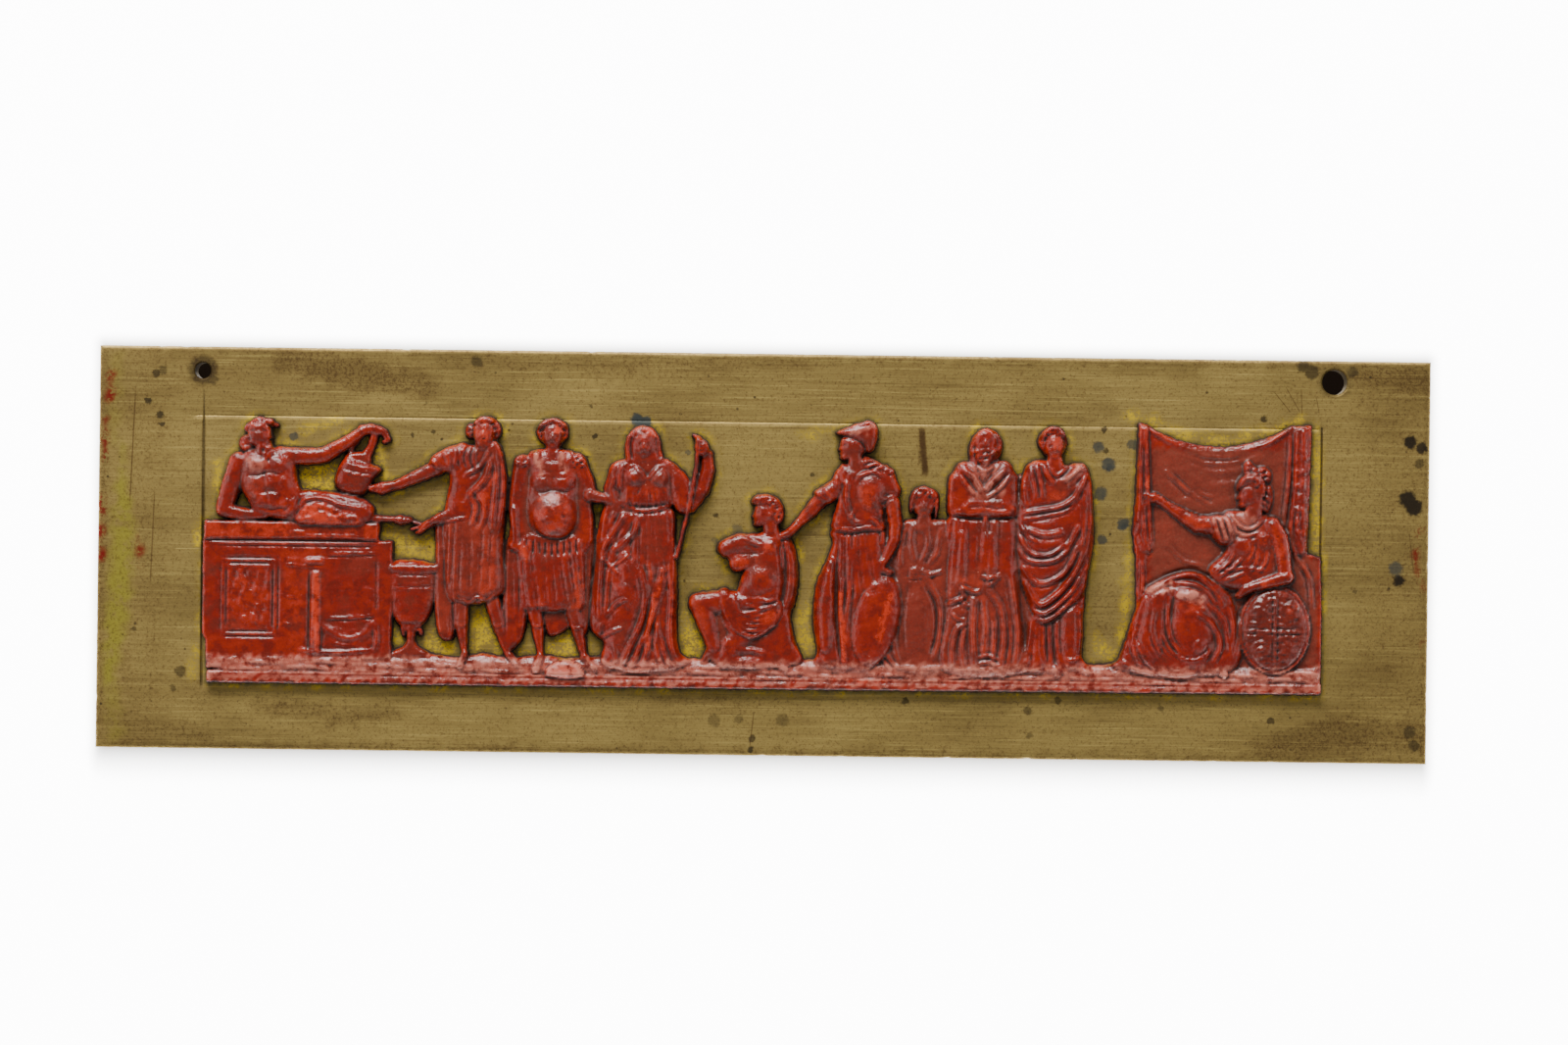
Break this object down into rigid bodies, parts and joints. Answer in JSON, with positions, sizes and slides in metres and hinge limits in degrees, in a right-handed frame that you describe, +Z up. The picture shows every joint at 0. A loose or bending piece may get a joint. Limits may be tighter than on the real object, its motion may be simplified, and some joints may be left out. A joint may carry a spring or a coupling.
{
  "type": "relief plaque",
  "caption": "Oblong brass plate drilled for hanging, with a low frieze of robed classical figures modelled on it in red wax.",
  "frame": {"origin": "middle of the plate's back face, which lies against the wall", "axes": "+X to the right along the frieze as seen from the front, +Y back into the wall, +Z up; the relief faces -Y"},
  "size_m": [0.191, 0.0072, 0.0578],
  "materials": {
    "brass": "old, dull and olive brown, brushed along its length, scraped bright around the wax",
    "red_wax": "deep red modelling wax, semi-gloss, rubbed orange on the high folds and maroon in the hollows"
  },
  "bodies": {
    "root": {"brass_plate": "brass", "wax_relief": "red_wax"}
  },
  "joints": []
}
